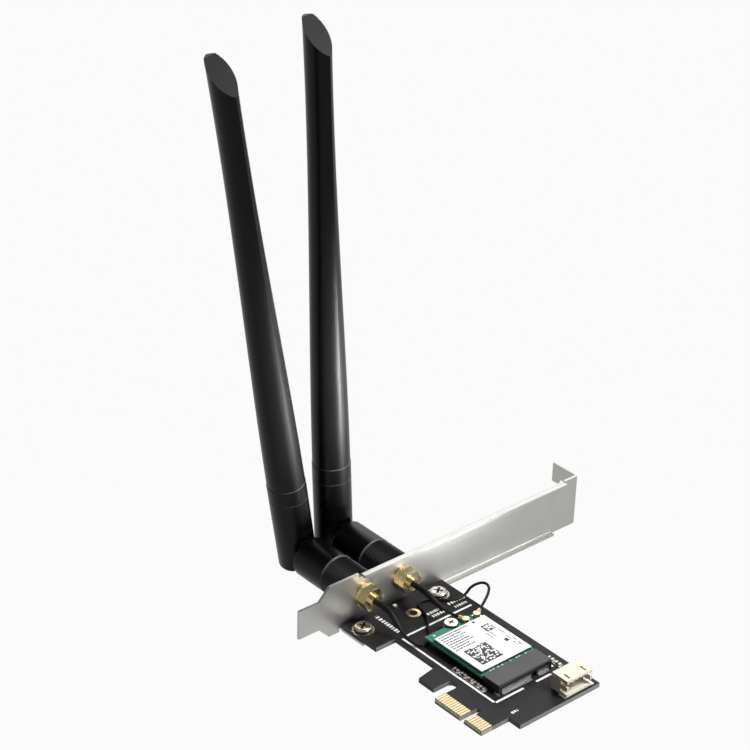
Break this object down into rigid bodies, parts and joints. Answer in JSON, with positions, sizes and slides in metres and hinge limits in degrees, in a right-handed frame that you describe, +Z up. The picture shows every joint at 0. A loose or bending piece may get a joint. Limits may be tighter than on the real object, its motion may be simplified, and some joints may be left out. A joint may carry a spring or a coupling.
{
  "type": "wireless network card",
  "caption": "Expansion-slot wireless network card: keyed board with a radio module, folded metal bracket and jointed whip aerials that swivel and fold on threaded jacks.",
  "frame": {"origin": "centre of the key slot on the outer edge of the edge connector, at mid thickness of the board", "axes": "+X along the bracket towards its screw tab and out of the slot, +Y out through the bracket, +Z up from the component side, along which the aerials stand"},
  "size_m": [0.1291, 0.1119, 0.1872],
  "materials": {
    "board": "dark solder mask over glass-fibre board",
    "gold_pads": "gold-plated copper",
    "plated_pads": "gold-plated copper ring",
    "bracket_metal": "satin nickel-plated sheet",
    "screw_steel": "plated steel",
    "module_green": "green solder mask over glass-fibre board",
    "shield_metal": "tinned sheet",
    "label_paper": "white label stock",
    "chip_black": "moulded package",
    "chip_tan": "ceramic chip body",
    "socket_black": "moulded socket",
    "tin": "tinned metal",
    "lead_black": "soft black jacket",
    "gold_brass": "gold-plated brass",
    "white_insulator": "white low-loss insulator",
    "header_ivory": "ivory moulding",
    "aerial_black": "black moulding with a fine satin grain",
    "brass_rod": "plain brass"
  },
  "bodies": {
    "card": {"main_board": "board", "edge_contacts": "gold_pads", "board_pads": "plated_pads", "io_bracket": "bracket_metal", "bracket_screws": "screw_steel", "module_board": "module_green", "module_shield": "shield_metal", "module_label": "label_paper", "radio_chip": "chip_black", "module_parts": "chip_tan", "socket_housing": "socket_black", "socket_tails": "tin", "module_standoff": "tin", "module_screw": "screw_steel", "aerial_receptacles": "gold_pads", "pigtail_left": "lead_black", "pigtail_right": "lead_black", "plug_left": "gold_brass", "plug_right": "gold_brass", "sleeve_left": "lead_black", "sleeve_right": "lead_black", "jack_left": "gold_brass", "jack_right": "gold_brass", "jack_washers": "gold_brass", "jack_nuts": "gold_brass", "jack_insulators": "white_insulator", "jack_pins": "gold_brass", "header_housing": "header_ivory", "header_pins": "tin", "chip_bodies": "chip_tan", "chip_ends": "tin"},
    "left_nut": {"left_coupling_nut": "aerial_black", "left_nut_insert": "gold_brass"},
    "left_elbow": {"left_elbow": "aerial_black", "left_plug_body": "gold_brass", "left_plug_insulator": "white_insulator", "left_plug_contact": "gold_brass"},
    "left_whip": {"left_hinge_pin": "screw_steel", "left_whip_foot": "aerial_black", "left_whip_collar": "aerial_black", "left_whip_sleeve": "aerial_black", "left_radiator": "brass_rod"},
    "right_nut": {"right_coupling_nut": "aerial_black", "right_nut_insert": "gold_brass"},
    "right_elbow": {"right_elbow": "aerial_black", "right_plug_body": "gold_brass", "right_plug_insulator": "white_insulator", "right_plug_contact": "gold_brass"},
    "right_whip": {"right_hinge_pin": "screw_steel", "right_whip_foot": "aerial_black", "right_whip_collar": "aerial_black", "right_whip_sleeve": "aerial_black", "right_radiator": "brass_rod"}
  },
  "joints": [
    {"name": "left_nut_spin", "type": "hinge", "parent": "card", "child": "left_nut", "pos_m": [0.0123, 0.05936, 0.0084], "axis": [0, 1, 0], "continuous": true},
    {"name": "left_swivel", "type": "hinge", "parent": "card", "child": "left_elbow", "pos_m": [0.0123, 0.05936, 0.0084], "axis": [0, 1, 0], "range_deg": [-169.4, 7.4]},
    {"name": "left_fold", "type": "hinge", "parent": "left_elbow", "child": "left_whip", "pos_m": [0.0123, 0.0927, 0.0084], "axis": [0.9829, 0, 0.184], "range_deg": [-91.5, 0]},
    {"name": "right_nut_spin", "type": "hinge", "parent": "card", "child": "right_nut", "pos_m": [0.0279, 0.05936, 0.0084], "axis": [0, 1, 0], "continuous": true},
    {"name": "right_swivel", "type": "hinge", "parent": "card", "child": "right_elbow", "pos_m": [0.0279, 0.05936, 0.0084], "axis": [0, 1, 0], "range_deg": [0, 180]},
    {"name": "right_fold", "type": "hinge", "parent": "right_elbow", "child": "right_whip", "pos_m": [0.0279, 0.0927, 0.0084], "axis": [0.9984, 0, 0.0558], "range_deg": [-90, 0]}
  ]
}
